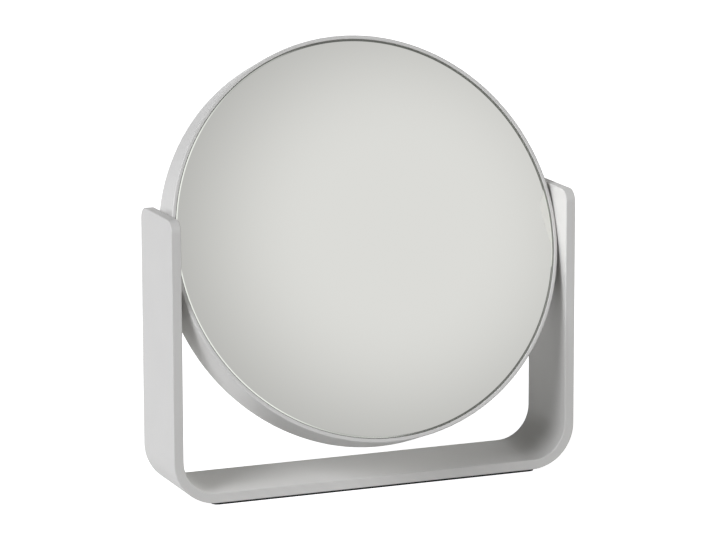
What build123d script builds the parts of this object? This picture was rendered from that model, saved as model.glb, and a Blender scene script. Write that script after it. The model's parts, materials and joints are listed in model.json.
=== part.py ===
"""Tilting table mirror.

A flat strip, bent into a U, stands on its middle and carries a round two-sided mirror head
between its two uprights. The head turns all the way round on two shoulder screws, so either
the plain or the magnifying glass can face forward.

Frame: +Z up, +X to the right, and the plain glass faces -Y. The origin is on the table top,
under the middle of the stand. All sizes are in millimetres and degrees.
"""

import math
import os

from build123d import *

os.makedirs("parts", exist_ok=True)

# ---------------------------------------------------------------- driving dimensions

# head band: the hoop that holds both glasses
band_radius = 91.05
band_depth = 19.5
band_wall = 1.7
band_outer_round = 0.6
band_inner_round = 0.25

# glasses
glass_recess = 0.65
glass_bevel_width = 0.9
glass_bevel_depth = 0.4
glass_arris = 0.3
plain_thickness = 3.0
magnifier_thickness = 2.0
magnifier_curvature = 650.0

# black tape round the edge of each glass; it fills the gap to the band
edge_tape_below_lip = 0.3

# adhesive foam between the glasses and what carries them
foam_thickness = 1.0
front_foam_width = 18.0

# shelf, screw lugs and pivot bosses inside the band
shelf_thickness = 1.5
shelf_width = 4.35
lug_count = 4
lug_start_angle = 45.0
lug_width = 9.0
lug_reach = 4.0
lug_floor = 1.0
boss_width = 16.0
boss_depth = 11.0
boss_reach = 4.4
boss_round = 2.0

# moulded carrier behind the plain glass
carrier_thickness = 2.0
carrier_rib_width = 1.6
carrier_rib_depth = 5.5
carrier_rib_count = 8
carrier_hub_radius = 10.0
carrier_notch_margin = 1.5
carrier_rim_margin = 1.5

# countersunk screws that hold the carrier to the lugs
carrier_screw_radius = 1.25
carrier_screw_head_radius = 2.75
carrier_screw_hole_radius = 1.6
carrier_screw_length = 7.0
carrier_screw_tip_chamfer = 0.4
countersink_angle = 90.0
carrier_screw_from_edge = 3.7
cross_width = 0.8
cross_span = 3.0
cross_depth = 0.9

# pivot parts, one set on each side
shoulder_radius = 2.5
thread_radius = 2.0
thread_length = 3.0
screw_head_radius = 4.5
screw_head_thickness = 2.5
screw_head_chamfer = 0.4
socket_flats = 2.5
socket_depth = 1.5
bush_wall = 0.95
bush_flange_radius = 4.75
bush_flange_thickness = 0.8
washer_radius = 4.75
washer_thickness = 0.8
spring_radius = 4.7
spring_thickness = 0.5
spring_cone_height = 0.5
thrust_washer_radius = 7.0
thrust_washer_thickness = 0.8

# stand: flat strip with two bends, and the pad under it
strip_width = 40.0
strip_thickness = 4.5
outer_bend_radius = 20.0
strip_edge_round = 0.4
upright_corner_round = 5.5
upright_above_pivot = 19.5
tapped_hole_depth = 3.3
pad_thickness = 1.0
pad_inset = 1.0
pad_end_overhang = 1.5
pad_corner_radius = 3.0

# pose and clearances
head_tilt = 19.5
swing_clearance = 11.4
side_gap = 0.2
glass_edge_clearance = 0.25
carrier_edge_clearance = 0.45
spot_face_margin = 0.3
running_clearance = 0.05
washer_bore_clearance = 0.1
magnifier_clearance = 1.0
foam_edge_clearance = 0.4

# ---------------------------------------------------------------- derived sizes

# across the pivot axis, as distances from the middle of the head
upright_face = band_radius + side_gap
spot_face = upright_face - thrust_washer_thickness
stand_half_width = upright_face + strip_thickness
pocket_radius = band_radius - band_wall
boss_face = pocket_radius - boss_reach
bush_face = boss_face - bush_flange_thickness
washer_face = bush_face - washer_thickness
spring_face = washer_face - spring_thickness - spring_cone_height
screw_head_face = spring_face - screw_head_thickness

# along the head's own axis, from its mid-plane, positive towards the plain glass
half_depth = band_depth / 2
glass_radius = pocket_radius - glass_edge_clearance
plain_front = half_depth - glass_recess
plain_back = plain_front - plain_thickness
carrier_front = plain_back - foam_thickness
carrier_back = carrier_front - carrier_thickness
magnifier_face_radius = glass_radius - glass_bevel_width
magnifier_rim = -plain_front
magnifier_center = magnifier_rim - math.sqrt(magnifier_curvature**2 - magnifier_face_radius**2)
magnifier_back_curvature = magnifier_curvature + magnifier_thickness


def magnifier_back(radius):
    """Height of the magnifying glass's inner surface at a distance from its middle."""
    return magnifier_center + math.sqrt(magnifier_back_curvature**2 - radius**2)


shelf_back = magnifier_back(glass_radius) + foam_thickness
shelf_front = shelf_back + shelf_thickness
shelf_radius = pocket_radius - shelf_width
lug_radius = shelf_radius - lug_reach
carrier_radius = pocket_radius - carrier_edge_clearance
carrier_screw_circle = carrier_radius - carrier_screw_from_edge
notch_inner_radius = screw_head_face - carrier_notch_margin
carrier_rim_radius = notch_inner_radius - carrier_rim_margin - carrier_rib_width / 2
carrier_mid_radius = (carrier_hub_radius + carrier_rim_radius) / 2
front_foam_outer_radius = notch_inner_radius - foam_edge_clearance
front_foam_inner_radius = front_foam_outer_radius - front_foam_width
root_radius = pocket_radius + band_wall / 2

# heights above the table
swing_radius = math.hypot(band_radius, half_depth)
strip_top = pad_thickness + strip_thickness
pivot_height = strip_top + swing_clearance + swing_radius
upright_top = pivot_height + upright_above_pivot
flat_half_length = stand_half_width - outer_bend_radius

# ---------------------------------------------------------------- frames

pivot_point = (0, 0, pivot_height)
tilt_angle = math.radians(head_tilt)
head_plane = Plane(
    origin=pivot_point,
    x_dir=(1, 0, 0),
    z_dir=(0, -math.cos(tilt_angle), math.sin(tilt_angle)),
)
head_axis = Axis(pivot_point, head_plane.z_dir)

# sections of the round head parts: local x is the radius, local y the height above mid-plane
head_section = Plane(origin=pivot_point, x_dir=(1, 0, 0), z_dir=-head_plane.y_dir)


def pivot_section(side):
    """Plane for turned pivot parts: local x is the radius, local y the distance outward."""
    return Plane(origin=pivot_point, x_dir=(0, 0, 1), z_dir=(0, side, 0))


def pivot_axis(side):
    """The pivot axis, pointing outward on one side."""
    return Axis(pivot_point, (side, 0, 0))


def side_plane(side, distance):
    """Plane square to the pivot axis, facing outward, turned with the head."""
    origin = (side * distance, 0, pivot_height)
    return Plane(origin=origin, x_dir=head_plane.y_dir, z_dir=(side, 0, 0))


def finish(part, name):
    """Label one finished piece and write it to its own file."""
    part.label = name
    export_step(part, f"parts/{name}.step")


# ---------------------------------------------------------------- stand

# one flat strip with two bends, rounded edges and a tapped blind hole in each upright
with BuildPart() as stand_yoke:
    with BuildSketch(Plane.XZ):
        with BuildLine():
            outside = FilletPolyline(
                (-stand_half_width, upright_top),
                (-stand_half_width, pad_thickness),
                (stand_half_width, pad_thickness),
                (stand_half_width, upright_top),
                radius=outer_bend_radius,
            )
            inside = FilletPolyline(
                (-upright_face, upright_top),
                (-upright_face, strip_top),
                (upright_face, strip_top),
                (upright_face, upright_top),
                radius=outer_bend_radius - strip_thickness,
            )
            Line(outside @ 0, inside @ 0)
            Line(outside @ 1, inside @ 1)
        make_face()
    extrude(amount=strip_width / 2, both=True)
    top_corners = stand_yoke.edges().filter_by(Axis.X).group_by(Axis.Z)[-1]
    fillet(top_corners, radius=upright_corner_round)
    cross_edges = stand_yoke.edges().filter_by(Axis.Y)
    bend_seams = [edge for edge in cross_edges if edge.center().Z < pivot_height]
    corner_seams = stand_yoke.edges().filter_by(Axis.X)
    rims = [edge for edge in stand_yoke.edges() if edge not in bend_seams + list(corner_seams)]
    fillet(rims, radius=strip_edge_round)
    for side in (-1, 1):
        with Locations(Plane(origin=(side * upright_face, 0, pivot_height), z_dir=(-side, 0, 0))):
            Hole(radius=thread_radius, depth=tapped_hole_depth)
finish(stand_yoke.part, "stand_yoke")

# dark elastic sheet under the flat of the strip, set in from its edges
with BuildPart() as base_pad:
    with BuildSketch(Plane.XY):
        RectangleRounded(
            2 * (flat_half_length + pad_end_overhang),
            strip_width - 2 * pad_inset,
            pad_corner_radius,
        )
    extrude(amount=pad_thickness)
finish(base_pad.part, "base_pad")

# ---------------------------------------------------------------- head band

# hoop with a shelf for the magnifying glass, four screw lugs and two pivot bosses inside
with BuildPart() as head_band:
    with BuildSketch(head_section) as band_profile:
        with BuildLine():
            Polyline(
                (band_radius, -half_depth),
                (band_radius, half_depth),
                (pocket_radius, half_depth),
                (pocket_radius, shelf_front),
                (shelf_radius, shelf_front),
                (shelf_radius, shelf_back),
                (pocket_radius, shelf_back),
                (pocket_radius, -half_depth),
                close=True,
            )
        make_face()
        fillet(band_profile.vertices().group_by(Axis.X)[-1], radius=band_outer_round)
        pocket_ends = band_profile.vertices().group_by(Axis.X)[1]
        lip_ends = [end for end in pocket_ends if abs(end.Y) > plain_front]
        fillet(lip_ends, radius=band_inner_round)
    revolve(axis=head_axis)
    with BuildSketch(head_plane.offset(shelf_front)):
        with PolarLocations((lug_radius + root_radius) / 2, lug_count, lug_start_angle):
            Rectangle(root_radius - lug_radius, lug_width)
    extrude(amount=carrier_back - shelf_front)
    for side in (-1, 1):
        with BuildSketch(side_plane(side, boss_face)):
            RectangleRounded(boss_width, boss_depth, boss_round)
        extrude(amount=root_radius - boss_face)
        with BuildSketch(side_plane(side, spot_face)):
            Circle(thrust_washer_radius + spot_face_margin)
        extrude(amount=side_gap + thrust_washer_thickness, mode=Mode.SUBTRACT)
        with BuildSketch(side_plane(side, boss_face)):
            Circle(shoulder_radius + running_clearance + bush_wall)
        extrude(amount=upright_face - boss_face, mode=Mode.SUBTRACT)
    with Locations(head_plane.offset(carrier_back)):
        with PolarLocations(carrier_screw_circle, lug_count, lug_start_angle):
            Hole(radius=carrier_screw_radius, depth=carrier_back - shelf_front - lug_floor)
finish(head_band.part, "head_band")

# ---------------------------------------------------------------- glasses

# flat silvered glass with a bevelled front edge
with BuildPart() as plain_glass:
    with BuildSketch(head_plane.offset(plain_back)):
        Circle(glass_radius)
    extrude(amount=plain_thickness)
    front_face = plain_glass.faces().sort_by(head_axis)[-1]
    back_edge = plain_glass.faces().sort_by(head_axis)[0].edges()
    chamfer(
        front_face.edges(),
        length=glass_bevel_width,
        length2=glass_bevel_depth,
        reference=front_face,
    )
    chamfer(back_edge, length=glass_arris)
finish(plain_glass.part, "plain_glass")

# dished silvered glass of even thickness, hollow side facing out of the back of the head
with BuildPart() as magnifying_glass:
    bevel_foot = magnifier_rim + glass_bevel_depth
    with BuildSketch(head_section):
        with BuildLine():
            hollow_face = RadiusArc(
                (0, magnifier_center + magnifier_curvature),
                (magnifier_face_radius, magnifier_rim),
                magnifier_curvature,
            )
            Line(hollow_face @ 1, (glass_radius, bevel_foot))
            Line((glass_radius, bevel_foot), (glass_radius, magnifier_back(glass_radius)))
            domed_back = RadiusArc(
                (0, magnifier_center + magnifier_back_curvature),
                (glass_radius, magnifier_back(glass_radius)),
                magnifier_back_curvature,
            )
            Line(hollow_face @ 0, domed_back @ 0)
        make_face()
    revolve(axis=head_axis)
finish(magnifying_glass.part, "magnifying_glass")

# ring of tape on the edge of the plain glass, standing a little above its face
with BuildPart() as front_edge_tape:
    tape_foot = plain_back + glass_arris
    with BuildSketch(head_plane.offset(tape_foot)):
        Circle(pocket_radius)
        Circle(glass_radius, mode=Mode.SUBTRACT)
    extrude(amount=half_depth - edge_tape_below_lip - tape_foot)
finish(front_edge_tape.part, "front_edge_tape")

# the same tape on the edge of the magnifying glass
with BuildPart() as rear_edge_tape:
    tape_foot = magnifier_back(glass_radius)
    with BuildSketch(head_plane.offset(tape_foot)):
        Circle(pocket_radius)
        Circle(glass_radius, mode=Mode.SUBTRACT)
    extrude(amount=-(tape_foot + half_depth - edge_tape_below_lip))
finish(rear_edge_tape.part, "rear_edge_tape")


# ---------------------------------------------------------------- foam and carrier

# flat ring of adhesive foam behind the plain glass
with BuildPart() as front_foam_ring:
    with BuildSketch(head_plane.offset(carrier_front)):
        Circle(front_foam_outer_radius)
        Circle(front_foam_inner_radius, mode=Mode.SUBTRACT)
    extrude(amount=foam_thickness)
finish(front_foam_ring.part, "front_foam_ring")

# narrow ring of adhesive foam on the shelf, pressed to the curve of the magnifying glass
with BuildPart() as rear_foam_ring:
    foam_inner_radius = shelf_radius + foam_edge_clearance
    foam_outer_radius = pocket_radius - foam_edge_clearance
    with BuildSketch(head_section):
        with BuildLine():
            pressed_face = RadiusArc(
                (foam_inner_radius, magnifier_back(foam_inner_radius)),
                (foam_outer_radius, magnifier_back(foam_outer_radius)),
                magnifier_back_curvature,
            )
            Polyline(
                pressed_face @ 1,
                (foam_outer_radius, shelf_back),
                (foam_inner_radius, shelf_back),
                pressed_face @ 0,
            )
        make_face()
    revolve(axis=head_axis)
finish(rear_foam_ring.part, "rear_foam_ring")

# moulded disc on the lugs, ribbed on its back, that backs the plain glass
with BuildPart() as glass_carrier:
    notch_length = carrier_radius - notch_inner_radius
    notch_width = boss_width + 2 * carrier_notch_margin
    with BuildSketch(head_plane.offset(carrier_back)):
        for radius in (carrier_rim_radius, carrier_mid_radius, carrier_hub_radius):
            Circle(radius + carrier_rib_width / 2)
            Circle(radius - carrier_rib_width / 2, mode=Mode.SUBTRACT)
    extrude(amount=-carrier_rib_depth)
    with BuildSketch(head_plane.offset(carrier_back)):
        with PolarLocations(
            (carrier_hub_radius + carrier_rim_radius) / 2,
            carrier_rib_count,
            start_angle=180 / carrier_rib_count,
        ):
            Rectangle(carrier_rim_radius - carrier_hub_radius, carrier_rib_width)
    extrude(amount=-carrier_rib_depth)
    with Locations(head_plane.offset(magnifier_center)):
        Sphere(magnifier_back_curvature + magnifier_clearance, mode=Mode.SUBTRACT)
    with BuildSketch(head_plane.offset(carrier_back)):
        Circle(carrier_radius)
        with PolarLocations(carrier_radius - notch_length / 2, 2):
            Rectangle(notch_length, notch_width, mode=Mode.SUBTRACT)
    extrude(amount=carrier_thickness)
    with Locations(head_plane.offset(carrier_front)):
        with PolarLocations(carrier_screw_circle, lug_count, lug_start_angle):
            CounterSinkHole(
                radius=carrier_screw_hole_radius,
                counter_sink_radius=carrier_screw_head_radius,
                depth=carrier_thickness,
                counter_sink_angle=countersink_angle,
            )
finish(glass_carrier.part, "glass_carrier")

# countersunk cross-recess screws, flush with the front of the carrier
screw_places = PolarLocations(carrier_screw_circle, lug_count, lug_start_angle)
for number, place in enumerate(screw_places.locations, start=1):
    screw_plane = Plane(head_plane.location * Location((0, 0, carrier_front)) * place)
    cone_slope = math.tan(math.radians(countersink_angle / 2))
    cone_depth = (carrier_screw_head_radius - carrier_screw_radius) / cone_slope
    with BuildPart() as carrier_screw:
        with BuildSketch(screw_plane):
            Circle(carrier_screw_radius)
        extrude(amount=-carrier_screw_length)
        tip_edge = carrier_screw.edges().sort_by(head_axis)[0]
        chamfer(tip_edge, length=carrier_screw_tip_chamfer)
        with BuildSketch(screw_plane):
            Circle(carrier_screw_head_radius)
        extrude(amount=-cone_depth, taper=countersink_angle / 2)
        with BuildSketch(screw_plane):
            Rectangle(cross_span, cross_width)
            Rectangle(cross_width, cross_span)
        extrude(amount=-cross_depth, mode=Mode.SUBTRACT)
    finish(carrier_screw.part, f"carrier_screw_{number}")


# ---------------------------------------------------------------- pivots


def make_thrust_washer(side):
    """Flat plastic washer between the band's spot face and the upright."""
    with BuildPart() as thrust_washer:
        with BuildSketch(side_plane(side, spot_face)):
            Circle(thrust_washer_radius)
            Circle(shoulder_radius + washer_bore_clearance, mode=Mode.SUBTRACT)
        extrude(amount=thrust_washer_thickness)
    return thrust_washer.part


def make_pivot_bush(side):
    """Flanged plastic bush pressed into the boss from inside, with the screw running in it."""
    with BuildPart() as pivot_bush:
        with BuildSketch(pivot_section(side)):
            bush_radius = shoulder_radius + running_clearance + bush_wall
            with BuildLine():
                Polyline(
                    (shoulder_radius + running_clearance, bush_face),
                    (bush_flange_radius, bush_face),
                    (bush_flange_radius, boss_face),
                    (bush_radius, boss_face),
                    (bush_radius, spot_face),
                    (shoulder_radius + running_clearance, spot_face),
                    close=True,
                )
            make_face()
        revolve(axis=pivot_axis(side))
    return pivot_bush.part


def make_pivot_washer(side):
    """Flat steel washer that the spring presses against the bush's flange."""
    with BuildPart() as pivot_washer:
        with BuildSketch(side_plane(side, washer_face)):
            Circle(washer_radius)
            Circle(shoulder_radius + washer_bore_clearance, mode=Mode.SUBTRACT)
        extrude(amount=washer_thickness)
    return pivot_washer.part


def make_spring_washer(side):
    """Coned disc spring that gives the pivot its steady friction."""
    bore_radius = shoulder_radius + washer_bore_clearance
    with BuildPart() as spring_washer:
        with BuildSketch(pivot_section(side)):
            with BuildLine():
                Polyline(
                    (bore_radius, spring_face),
                    (spring_radius, spring_face + spring_cone_height),
                    (spring_radius, washer_face),
                    (bore_radius, washer_face - spring_cone_height),
                    close=True,
                )
            make_face()
        revolve(axis=pivot_axis(side))
    return spring_washer.part


def make_pivot_screw(side):
    """Shoulder screw driven from inside the head until its shoulder meets the upright."""
    with BuildPart() as pivot_screw:
        with BuildSketch(pivot_section(side)):
            with BuildLine():
                Polyline(
                    (0, screw_head_face),
                    (screw_head_radius - screw_head_chamfer, screw_head_face),
                    (screw_head_radius, screw_head_face + screw_head_chamfer),
                    (screw_head_radius, spring_face),
                    (shoulder_radius, spring_face),
                    (shoulder_radius, upright_face),
                    (thread_radius, upright_face),
                    (thread_radius, upright_face + thread_length - screw_head_chamfer),
                    (thread_radius - screw_head_chamfer, upright_face + thread_length),
                    (0, upright_face + thread_length),
                    close=True,
                )
            make_face()
        revolve(axis=pivot_axis(side))
        with BuildSketch(side_plane(side, screw_head_face)):
            RegularPolygon(socket_flats / 2, side_count=6, major_radius=False)
        extrude(amount=socket_depth, mode=Mode.SUBTRACT)
    return pivot_screw.part


for side, side_name in ((-1, "left"), (1, "right")):
    finish(make_thrust_washer(side), f"thrust_washer_{side_name}")
    finish(make_pivot_bush(side), f"pivot_bush_{side_name}")
    finish(make_pivot_washer(side), f"pivot_washer_{side_name}")
    finish(make_spring_washer(side), f"spring_washer_{side_name}")
    finish(make_pivot_screw(side), f"pivot_screw_{side_name}")
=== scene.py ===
"""Tilting table mirror: the looks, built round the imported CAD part.

A flat steel strip bent into a U carries a round two-sided mirror head between its uprights.
Every length is in metres, in the frame of the part: +Z up, +X right, the plain glass faces -Y.
"""

import json
import math

import bpy
import numpy as np
from mathutils import Matrix, Vector


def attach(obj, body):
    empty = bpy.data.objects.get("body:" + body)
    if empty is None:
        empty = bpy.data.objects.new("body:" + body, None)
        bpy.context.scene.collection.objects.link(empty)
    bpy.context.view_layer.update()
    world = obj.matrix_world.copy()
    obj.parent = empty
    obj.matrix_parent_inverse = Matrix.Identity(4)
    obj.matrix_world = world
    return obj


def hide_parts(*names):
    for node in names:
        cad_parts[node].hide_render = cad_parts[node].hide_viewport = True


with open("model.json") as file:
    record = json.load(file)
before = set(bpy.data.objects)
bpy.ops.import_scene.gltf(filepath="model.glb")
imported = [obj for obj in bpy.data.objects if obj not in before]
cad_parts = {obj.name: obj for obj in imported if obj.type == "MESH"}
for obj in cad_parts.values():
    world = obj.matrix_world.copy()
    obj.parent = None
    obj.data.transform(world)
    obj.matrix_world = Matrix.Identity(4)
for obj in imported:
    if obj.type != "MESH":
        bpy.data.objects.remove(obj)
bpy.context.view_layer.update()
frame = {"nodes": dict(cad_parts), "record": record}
nodes = frame["nodes"]
mm = 0.001

# ---------------------------------------------------------------- camera
# A long lens looks at the mirror from the left, a little above the middle of the glass.


def toward(azimuth, elevation):
    """Unit vector of a direction in degrees: azimuth 0 is straight in front, 90 is to the right."""
    turn, lift = math.radians(azimuth), math.radians(elevation)
    return Vector(
        (math.sin(turn) * math.cos(lift), -math.cos(turn) * math.cos(lift), math.sin(lift))
    )


camera_target = Vector((-1.15 * mm, 0, 95.37 * mm))
camera_distance = 1827.36 * mm
camera_roll = math.radians(-0.16)
picture_width = 716
focal_pixels = 4115.3

away = toward(-22.03, 11.84)
level_right = (-away).cross(Vector((0, 0, 1))).normalized()
level_up = level_right.cross(-away)
right = level_right * math.cos(camera_roll) + level_up * math.sin(camera_roll)
up = level_up * math.cos(camera_roll) - level_right * math.sin(camera_roll)

camera_data = bpy.data.cameras.new("studio_camera")
camera_data.sensor_width = 36
camera_data.lens = focal_pixels / picture_width * camera_data.sensor_width
camera = bpy.data.objects.new("studio_camera", camera_data)
camera.matrix_world = (
    Matrix.Translation(camera_target + away * camera_distance)
    @ Matrix((right, up, away)).transposed().to_4x4()
)
bpy.context.scene.collection.objects.link(camera)
bpy.context.scene.camera = camera

# ---------------------------------------------------------------- stand
# One steel strip, 40 x 4.5 mm, bent cold into a U with its edges rounded over, then powder coated
# in a warm light grey. The pivot screws enter its uprights from inside, so no fixing shows.


def linear(hex_color):
    """sRGB hex colour as linear RGBA."""
    srgb = np.array([int(hex_color[i : i + 2], 16) for i in (1, 3, 5)]) / 255
    light = np.where(srgb <= 0.04045, srgb / 12.92, ((srgb + 0.055) / 1.055) ** 2.4)
    return (*light.tolist(), 1.0)


def add_node(tree, kind, settings=None, links=None):
    """Add one node to a tree, set its values by name or input number, and link its inputs.

    A link comes from an output, or from a node, which stands for its first output.
    """
    node = tree.nodes.new(kind)
    for name, value in (settings or {}).items():
        if isinstance(name, int) or name in node.inputs:
            node.inputs[name].default_value = value
        else:
            setattr(node, name, value)
    for name, source in (links or {}).items():
        output = source.outputs[0] if isinstance(source, bpy.types.Node) else source
        tree.links.new(output, node.inputs[name])
    return node


def new_material(name, settings):
    """A material with one Principled shader, and its tree, shader and object coordinates."""
    material = bpy.data.materials.new(name)
    material.use_nodes = True
    tree = material.node_tree
    tree.nodes.clear()
    shader = add_node(tree, "ShaderNodeBsdfPrincipled", settings)
    add_node(tree, "ShaderNodeOutputMaterial", links={"Surface": shader})
    place = add_node(tree, "ShaderNodeTexCoord").outputs["Object"]
    return material, tree, shader, place


def dress(material, *node_names):
    """Put a material on CAD nodes."""
    for node_name in node_names:
        nodes[node_name].material_slots[0].material = material


# Polyester powder coat, cured in an oven: satin, with the orange peel that the melted powder
# keeps, waves about 1.3 mm long and a few thousandths high, and the faintest change of tone.
powder_coat, tree, shader, place = new_material("powder_coat", {"IOR": 1.5})
waves = add_node(tree, "ShaderNodeTexNoise", {"Scale": 1 / (1.3 * mm)}, {"Vector": place})
peel = add_node(tree, "ShaderNodeBump", {"Distance": 0.004 * mm}, {"Height": waves})
drift = add_node(tree, "ShaderNodeTexNoise", {"Scale": 1 / (22 * mm)}, {"Vector": place})
tone = add_node(
    tree,
    "ShaderNodeMix",
    {"data_type": "RGBA", 6: linear("#cbcac7"), 7: linear("#cfcecb")},
    {0: drift},
)
specks = add_node(tree, "ShaderNodeTexNoise", {"Scale": 1 / (0.4 * mm)}, {"Vector": place})
satin = add_node(tree, "ShaderNodeMapRange", {"To Min": 0.4, "To Max": 0.5}, {"Value": specks})
tree.links.new(peel.outputs["Normal"], shader.inputs["Normal"])
tree.links.new(tone.outputs[2], shader.inputs["Base Color"])
tree.links.new(satin.outputs[0], shader.inputs["Roughness"])
dress(powder_coat, "stand_yoke")

# ---------------------------------------------------------------- base pad
# Thin sheet of black foamed rubber, die cut and stuck under the flat of the strip. It shows as a
# dark line and keeps the steel off the table.

# Foamed rubber: nearly black, dull, with fine closed pores about 0.3 mm across.
foamed_rubber, tree, shader, place = new_material(
    "foamed_rubber", {"Roughness": 0.85, "IOR": 1.5, "Base Color": linear("#161616")}
)
pores = add_node(tree, "ShaderNodeTexVoronoi", {"Scale": 1 / (0.3 * mm)}, {"Vector": place})
pitted = add_node(tree, "ShaderNodeBump", {"Distance": 0.03 * mm}, {"Height": pores})
tree.links.new(pitted.outputs["Normal"], shader.inputs["Normal"])
dress(foamed_rubber, "base_pad")

# ---------------------------------------------------------------- head band
# Hoop rolled from steel strip, welded and ground smooth, with its outer corners well rounded and
# a shelf, four lugs and two bosses inside. It is sprayed to match the stand.

# The stand's colour in a wet paint, which dries smoother and a little glossier than powder: its
# waves are half as high, and at a low angle it picks up more of the white round it.
band_paint = powder_coat.copy()
band_paint.name = "band_paint"
tree = band_paint.node_tree
tree.nodes["Bump"].inputs["Distance"].default_value = 0.002 * mm
tree.nodes["Map Range"].inputs["To Min"].default_value = 0.27
tree.nodes["Map Range"].inputs["To Max"].default_value = 0.37
dress(band_paint, "head_band")

# ---------------------------------------------------------------- glasses
# Two round glasses, silvered on the back: flat float glass in front, 3 mm thick, and a dished
# one behind, 2 mm thick. Each sits just under the band's lip and has a narrow polished bevel,
# flatter than the solid's, so that it mirrors the room and not the floor.

pivot = Vector(frame["record"]["behaviour"]["joints"][0]["pos_m"])
head_tilt = math.radians(19.5)
glass_radius = 89.1 * mm
bevel_width = 0.7 * mm
bevel_depth = 0.16 * mm
arris = 0.06 * mm
plain_front = 9.1 * mm
plain_back = 6.1 * mm
back_arris = 0.3 * mm
magnifier_rim = -9.1 * mm
magnifier_curvature = 650 * mm
magnifier_thickness = 2 * mm
sharp_over = math.radians(4)


def on_head(points):
    """Carry points from the head's own axes to the frame of the part.

    Local x runs along the pivot axis, y up the glass and z out of the plain glass. The head is
    turned back about x by its tilt, then moved to the pivot.
    """
    x, y, z = points.T
    lean, rise = math.sin(head_tilt), math.cos(head_tilt)
    return np.stack(
        [pivot.x + x, pivot.y + y * lean - z * rise, pivot.z + y * rise + z * lean], axis=1
    )


def turned(name, profile, finishes, turns=240):
    """Solid of revolution about the head's axis, from a profile that starts and ends on it.

    Profile point (r, h) goes round as (r cos a, r sin a, h). The profile runs from the pole that
    faces +z outwards and round to the other pole. A finish is given for each step of the profile.
    """
    profile = np.asarray(profile)
    radius, height = profile[1:-1].T
    angle = np.linspace(0, 2 * np.pi, turns, endpoint=False)
    rings = np.stack(
        [
            np.outer(radius, np.cos(angle)),
            np.outer(radius, np.sin(angle)),
            np.outer(height, np.ones(turns)),
        ],
        axis=-1,
    ).reshape(-1, 3)
    poles = np.array([[0, 0, profile[0, 1]], [0, 0, profile[-1, 1]]])
    index = np.arange(len(rings)).reshape(len(radius), turns)
    following = np.roll(index, -1, axis=1)
    front_pole = np.full(turns, len(rings))
    sides = np.stack([index[:-1], index[1:], following[1:], following[:-1]], axis=-1)
    front_fan = np.stack([front_pole, index[0], following[0]], axis=-1)
    back_fan = np.stack([front_pole + 1, following[-1], index[-1]], axis=-1)
    mesh = bpy.data.meshes.new(name)
    mesh.from_pydata(
        on_head(np.concatenate([rings, poles])).tolist(),
        [],
        front_fan.tolist() + sides.reshape(-1, 4).tolist() + back_fan.tolist(),
    )
    for finish in dict.fromkeys(finishes):
        mesh.materials.append(finish)
    slots = [list(dict.fromkeys(finishes)).index(finish) for finish in finishes]
    mesh.polygons.foreach_set("material_index", np.repeat(slots, turns))
    mesh.polygons.foreach_set("use_smooth", np.ones(len(mesh.polygons), dtype=bool))
    mesh.set_sharp_from_angle(angle=sharp_over)
    piece = bpy.data.objects.new(name, mesh)
    bpy.context.scene.collection.objects.link(piece)
    return piece


# Silvered float glass: a clean mirror that sends back about four fifths of the light, a little
# green and yellow from the iron in the glass, with the long shallow waves of the float bath.
silvered_glass, tree, shader, place = new_material(
    "silvered_glass", {"Metallic": 1.0, "Roughness": 0.0, "Base Color": linear("#e3e3df")}
)
bath_waves = add_node(
    tree, "ShaderNodeTexNoise", {"Scale": 1 / (60 * mm), "Detail": 0.0}, {"Vector": place}
)
wavy = add_node(tree, "ShaderNodeBump", {"Distance": 0.0005 * mm}, {"Height": bath_waves})
tree.links.new(wavy.outputs["Normal"], shader.inputs["Normal"])

# Polished bevel: the same silvered glass, felt polished, a touch less clear.
polished_bevel, tree, shader, place = new_material(
    "polished_bevel", {"Metallic": 1.0, "Base Color": linear("#eef1ea")}
)
felt = add_node(tree, "ShaderNodeTexNoise", {"Scale": 1 / (0.5 * mm)}, {"Vector": place})
polish = add_node(tree, "ShaderNodeMapRange", {"To Min": 0.03, "To Max": 0.12}, {"Value": felt})
tree.links.new(polish.outputs[0], shader.inputs["Roughness"])

# Ground edge: grey green glass with a fine frosted grain from the wheel.
ground_edge, tree, shader, place = new_material(
    "ground_edge", {"Roughness": 0.6, "IOR": 1.52, "Base Color": linear("#6f7d74")}
)
wheel = add_node(tree, "ShaderNodeTexNoise", {"Scale": 1 / (0.25 * mm)}, {"Vector": place})
frosted = add_node(tree, "ShaderNodeBump", {"Distance": 0.01 * mm}, {"Height": wheel})
tree.links.new(frosted.outputs["Normal"], shader.inputs["Normal"])

# Backing paint over the silver: dull grey, curtain coated, with long shallow waves.
backing_paint, tree, shader, place = new_material(
    "backing_paint", {"Roughness": 0.55, "IOR": 1.5, "Base Color": linear("#6d7274")}
)
flow = add_node(tree, "ShaderNodeTexNoise", {"Scale": 1 / (4 * mm)}, {"Vector": place})
curtain = add_node(tree, "ShaderNodeBump", {"Distance": 0.01 * mm}, {"Height": flow})
tree.links.new(curtain.outputs["Normal"], shader.inputs["Normal"])

face_radius = glass_radius - bevel_width
plain_profile = [
    (0, plain_front),
    (face_radius - arris, plain_front),
    (face_radius, plain_front - arris * bevel_depth / bevel_width / 2),
    (glass_radius - arris, plain_front - bevel_depth + arris / 2),
    (glass_radius, plain_front - bevel_depth - arris),
    (glass_radius, plain_back + back_arris),
    (glass_radius - back_arris, plain_back),
    (0, plain_back),
]
plain_mirror = turned(
    "plain_mirror",
    plain_profile,
    [silvered_glass, silvered_glass]
    + [polished_bevel, polished_bevel]
    + [ground_edge, ground_edge]
    + [backing_paint],
    turns=480,
)
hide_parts("plain_glass")
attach(plain_mirror, "head")

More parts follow.
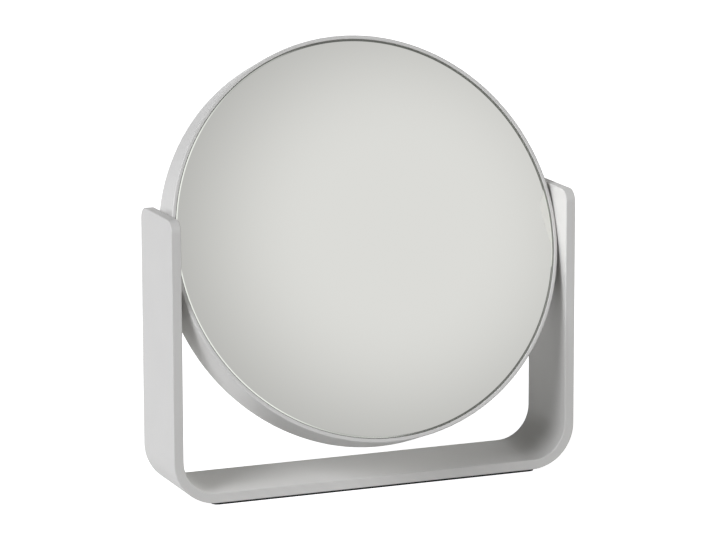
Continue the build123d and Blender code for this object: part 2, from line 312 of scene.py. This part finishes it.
# The dished glass is cut from two spheres on one centre, so its thickness is even.
dish_center = magnifier_rim - math.sqrt(magnifier_curvature**2 - face_radius**2)
back_curvature = magnifier_curvature + magnifier_thickness
dish_steps = 40
inner_radii = np.linspace(0, glass_radius, dish_steps + 1)
hollow_radii = np.linspace(face_radius, 0, dish_steps + 1)
domed_back = np.stack(
    [inner_radii, dish_center + np.sqrt(back_curvature**2 - inner_radii**2)], axis=1
)
hollow_face = np.stack(
    [hollow_radii, dish_center + np.sqrt(magnifier_curvature**2 - hollow_radii**2)], axis=1
)
bevel_foot = np.array([[glass_radius, magnifier_rim + bevel_depth]])
magnifying_mirror = turned(
    "magnifying_mirror",
    np.concatenate([domed_back, bevel_foot, hollow_face]),
    [backing_paint] * dish_steps
    + [ground_edge]
    + [polished_bevel]
    + [silvered_glass] * dish_steps,
)
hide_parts("magnifying_glass")
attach(magnifying_mirror, "head")

# ---------------------------------------------------------------- edge tape
# Narrow PVC tape round the edge of each glass. It takes up the gap to the hoop, and hardly shows
# between the bevel and the lip.

# Plasticised PVC: mid grey, satin, faintly creased across its length every half millimetre.
# The grey is partly painted shade: darker than the hoop, it darkens the groove between bevel and
# lip.
edge_tape, tree, shader, place = new_material(
    "edge_tape", {"Roughness": 0.5, "IOR": 1.53, "Base Color": linear("#6e6e6a")}
)
creases = add_node(tree, "ShaderNodeTexNoise", {"Scale": 1 / (0.5 * mm)}, {"Vector": place})
creased = add_node(tree, "ShaderNodeBump", {"Distance": 0.01 * mm}, {"Height": creases})
tree.links.new(creased.outputs["Normal"], shader.inputs["Normal"])
dress(edge_tape, "front_edge_tape", "rear_edge_tape")

# ---------------------------------------------------------------- inside of the head
# A ribbed disc, moulded in black plastic, backs the plain glass through a ring of foam tape. Four
# countersunk screws hold it to the band's lugs. The dished glass sits on a foam ring too.

# Moulded ABS: black, spark eroded texture from the mould, grain about 0.4 mm.
moulded_abs, tree, shader, place = new_material(
    "moulded_abs", {"IOR": 1.54, "Base Color": linear("#1d1d1e")}
)
spark = add_node(
    tree, "ShaderNodeTexNoise", {"Scale": 1 / (0.4 * mm), "Detail": 3.0}, {"Vector": place}
)
textured = add_node(tree, "ShaderNodeBump", {"Distance": 0.02 * mm}, {"Height": spark})
sheen = add_node(tree, "ShaderNodeMapRange", {"To Min": 0.45, "To Max": 0.65}, {"Value": spark})
tree.links.new(textured.outputs["Normal"], shader.inputs["Normal"])
tree.links.new(sheen.outputs[0], shader.inputs["Roughness"])
dress(moulded_abs, "glass_carrier")

# Polyethylene foam tape: off-white, matt, closed cells about half a millimetre across.
foam_tape, tree, shader, place = new_material("foam_tape", {"Roughness": 0.9, "IOR": 1.5})
cells = add_node(tree, "ShaderNodeTexVoronoi", {"Scale": 1 / (0.5 * mm)}, {"Vector": place})
shade = add_node(
    tree,
    "ShaderNodeMix",
    {"data_type": "RGBA", 6: linear("#cfcec8"), 7: linear("#f0efe9")},
    {0: cells},
)
celled = add_node(tree, "ShaderNodeBump", {"Distance": 0.05 * mm}, {"Height": cells})
tree.links.new(shade.outputs[2], shader.inputs["Base Color"])
tree.links.new(celled.outputs["Normal"], shader.inputs["Normal"])
dress(foam_tape, "front_foam_ring", "rear_foam_ring")

# Bright zinc plate on steel: pale blue grey metal, lightly clouded where the passivation dried.
zinc_plate, tree, shader, place = new_material("zinc_plate", {"Metallic": 1.0})
cloud = add_node(
    tree, "ShaderNodeTexNoise", {"Scale": 1 / (1.5 * mm), "Detail": 3.0}, {"Vector": place}
)
plate = add_node(
    tree,
    "ShaderNodeMix",
    {"data_type": "RGBA", 6: linear("#c3c7cb"), 7: linear("#d9d9d2")},
    {0: cloud},
)
dull = add_node(tree, "ShaderNodeMapRange", {"To Min": 0.22, "To Max": 0.4}, {"Value": cloud})
tree.links.new(plate.outputs[2], shader.inputs["Base Color"])
tree.links.new(dull.outputs[0], shader.inputs["Roughness"])
dress(zinc_plate, *(f"carrier_screw_{number}" for number in range(1, 5)))

# ---------------------------------------------------------------- pivots
# On each side a shoulder screw runs through a flanged bush in the boss and into the upright. A
# disc spring and a washer press on the bush's flange, and a thin washer parts hoop and upright.

sides = ("left", "right")
dress(zinc_plate, *(f"pivot_screw_{side}" for side in sides))
dress(zinc_plate, *(f"pivot_washer_{side}" for side in sides))

# Natural acetal: milky white, waxy, with fine turning marks a tenth of a millimetre apart.
natural_acetal, tree, shader, place = new_material(
    "natural_acetal",
    {
        "Roughness": 0.35,
        "IOR": 1.48,
        "Base Color": linear("#e9e8e0"),
        "Subsurface Weight": 0.15,
        "Subsurface Radius": (0.6 * mm, 0.5 * mm, 0.4 * mm),
        "Subsurface Scale": 1.0,
    },
)
marks = add_node(tree, "ShaderNodeTexNoise", {"Scale": 1 / (0.1 * mm)}, {"Vector": place})
turned_marks = add_node(tree, "ShaderNodeBump", {"Distance": 0.004 * mm}, {"Height": marks})
tree.links.new(turned_marks.outputs["Normal"], shader.inputs["Normal"])
dress(natural_acetal, *(f"thrust_washer_{side}" for side in sides))
dress(natural_acetal, *(f"pivot_bush_{side}" for side in sides))

# Phosphated spring steel: dark grey with a crystalline, slightly oily bloom.
phosphated_steel, tree, shader, place = new_material("phosphated_steel", {"Metallic": 1.0})
crystals = add_node(
    tree, "ShaderNodeTexNoise", {"Scale": 1 / (0.15 * mm), "Detail": 3.0}, {"Vector": place}
)
bloom = add_node(
    tree,
    "ShaderNodeMix",
    {"data_type": "RGBA", 6: linear("#3c3a36"), 7: linear("#5a5751")},
    {0: crystals},
)
oily = add_node(tree, "ShaderNodeMapRange", {"To Min": 0.4, "To Max": 0.6}, {"Value": crystals})
tree.links.new(bloom.outputs[2], shader.inputs["Base Color"])
tree.links.new(oily.outputs[0], shader.inputs["Roughness"])
dress(phosphated_steel, *(f"spring_washer_{side}" for side in sides))

# ---------------------------------------------------------------- studio
# A round softbox stands front left, and pale walls on the right send some of its light back. All
# are far away. The level of a lamp is what a white card that faces it alone sends back; 1 is white.

lamps = {
    "key_softbox": dict(azimuth=-66, elevation=30, spread=32, level=0.96, color="#fafbff"),
    "right_front_wall": dict(azimuth=45, elevation=10, spread=60, level=0.42, color="#ffffff"),
    "right_rear_wall": dict(azimuth=135, elevation=10, spread=60, level=0.63, color="#ffffff"),
}
for name, lamp in lamps.items():
    light = bpy.data.lights.new(name, "SUN")
    light.energy = math.pi * lamp["level"]
    light.angle = math.radians(lamp["spread"])
    light.color = linear(lamp["color"])[:3]
    stand = bpy.data.objects.new(name, light)
    way = toward(lamp["azimuth"], lamp["elevation"])
    stand.rotation_euler = way.to_track_quat("Z", "Y").to_euler()
    stand.location = way
    stand.visible_glossy = name == "key_softbox"
    bpy.context.scene.collection.objects.link(stand)

# The room is white where the camera sees it. Mirrored in metal and glass it is grey, and white low
# down, with a white screen on the left, a black flag on the right and, in front of the flag, a grey
# card with one soft bright spot. Matt surfaces get next to nothing from it.
world = bpy.data.worlds.new("studio")
bpy.context.scene.world = world
world.use_nodes = True
tree = world.node_tree
tree.nodes.clear()


def by_gloss_or_glass(tree, ray):
    """Mask of the rays that come by way of gloss or clear material."""
    return add_node(
        tree,
        "ShaderNodeMath",
        {"operation": "MAXIMUM"},
        {0: ray["Is Glossy Ray"], 1: ray["Is Transmission Ray"]},
    )


ray = add_node(tree, "ShaderNodeLightPath").outputs
direction = add_node(tree, "ShaderNodeTexCoord").outputs["Generated"]


def lit_patch(azimuth, elevation, inner, outer, level, base):
    """Soft round patch of the room: level inside one angle, falling smoothly to base at another."""
    apart = add_node(
        tree,
        "ShaderNodeVectorMath",
        {"operation": "DISTANCE", 1: toward(azimuth, elevation)},
        {0: direction},
    ).outputs["Value"]
    inner_chord, outer_chord = (2 * math.sin(math.radians(angle) / 2) for angle in (inner, outer))
    return add_node(
        tree,
        "ShaderNodeMapRange",
        {
            "interpolation_type": "SMOOTHERSTEP",
            "From Min": inner_chord,
            "From Max": outer_chord,
            "To Min": level,
            "To Max": base,
        },
        {"Value": apart},
    ).outputs[0]


# Where the plain glass looks from the camera's place, in degrees, and the level of the grey room.
glass_looks_at = (24.5, 24.7)
grey = 0.54

height = add_node(tree, "ShaderNodeSeparateXYZ", links={0: direction}).outputs["Z"]
low_wall = add_node(
    tree,
    "ShaderNodeMapRange",
    {
        "interpolation_type": "SMOOTHSTEP",
        "From Min": 0.0,
        "From Max": 0.08,
        "To Min": 1.0,
        "To Max": 0.0,
    },
    {"Value": height},
)
left_screen = lit_patch(-42, 10, 46, 60, 1.0, grey)
black_flag = lit_patch(52, 22, 32, 40, 0.15, 1.0)
bright_spot = lit_patch(*glass_looks_at, 0.9, 4.3, 0.93, grey)
grey_card = lit_patch(*glass_looks_at, 11, 18, 1.0, 0.0)
white_room = add_node(
    tree, "ShaderNodeMath", {"operation": "MAXIMUM"}, {0: low_wall, 1: left_screen}
)
flagged_room = add_node(
    tree, "ShaderNodeMath", {"operation": "MINIMUM"}, {0: white_room, 1: black_flag}
)
lit_card = add_node(
    tree, "ShaderNodeMath", {"operation": "MINIMUM"}, {0: bright_spot, 1: grey_card}
)
mirrored_level = add_node(
    tree, "ShaderNodeMath", {"operation": "MAXIMUM"}, {0: flagged_room, 1: lit_card}
)

mirrored_room = add_node(tree, "ShaderNodeBackground", links={"Strength": mirrored_level})
white_backdrop = add_node(tree, "ShaderNodeBackground", {"Strength": 1.0})
dim_room = add_node(tree, "ShaderNodeBackground", {"Strength": 0.015})
for room in (mirrored_room, white_backdrop, dim_room):
    room.inputs["Color"].default_value = linear("#ffffff")
in_gloss = by_gloss_or_glass(tree, ray)
unseen = add_node(tree, "ShaderNodeMixShader", links={0: in_gloss, 1: dim_room, 2: mirrored_room})
seen = add_node(
    tree, "ShaderNodeMixShader", links={0: ray["Is Camera Ray"], 1: unseen, 2: white_backdrop}
)
add_node(tree, "ShaderNodeOutputWorld", links={"Surface": seen})

# A wide sheet of pale paper lies under the mirror. It looks white, and keeps a faint shadow.
floor_reach = 12
floor_glow = 0.9
floor_mesh = bpy.data.meshes.new("floor")
corners = np.array([[-1, -1, 0], [1, -1, 0], [1, 1, 0], [-1, 1, 0]]) * floor_reach
floor_mesh.from_pydata(corners.tolist(), [], [(0, 1, 2, 3)])
floor = bpy.data.objects.new("floor", floor_mesh)
bpy.context.scene.collection.objects.link(floor)

pale_paper, tree, shader, place = new_material(
    "pale_paper",
    {
        "Roughness": 0.9,
        "Specular IOR Level": 0.0,
        "Base Color": linear("#cbcbcb"),
        "Emission Color": linear("#ffffff"),
    },
)
ray = add_node(tree, "ShaderNodeLightPath").outputs
in_gloss = by_gloss_or_glass(tree, ray)
looked_at = add_node(
    tree, "ShaderNodeMath", {"operation": "MAXIMUM"}, {0: ray["Is Camera Ray"], 1: in_gloss}
)
glow = add_node(tree, "ShaderNodeMath", {"operation": "MULTIPLY", 1: floor_glow}, {0: looked_at})
tree.links.new(glow.outputs[0], shader.inputs["Emission Strength"])
floor.data.materials.append(pale_paper)

bpy.context.scene.view_settings.view_transform = "Standard"
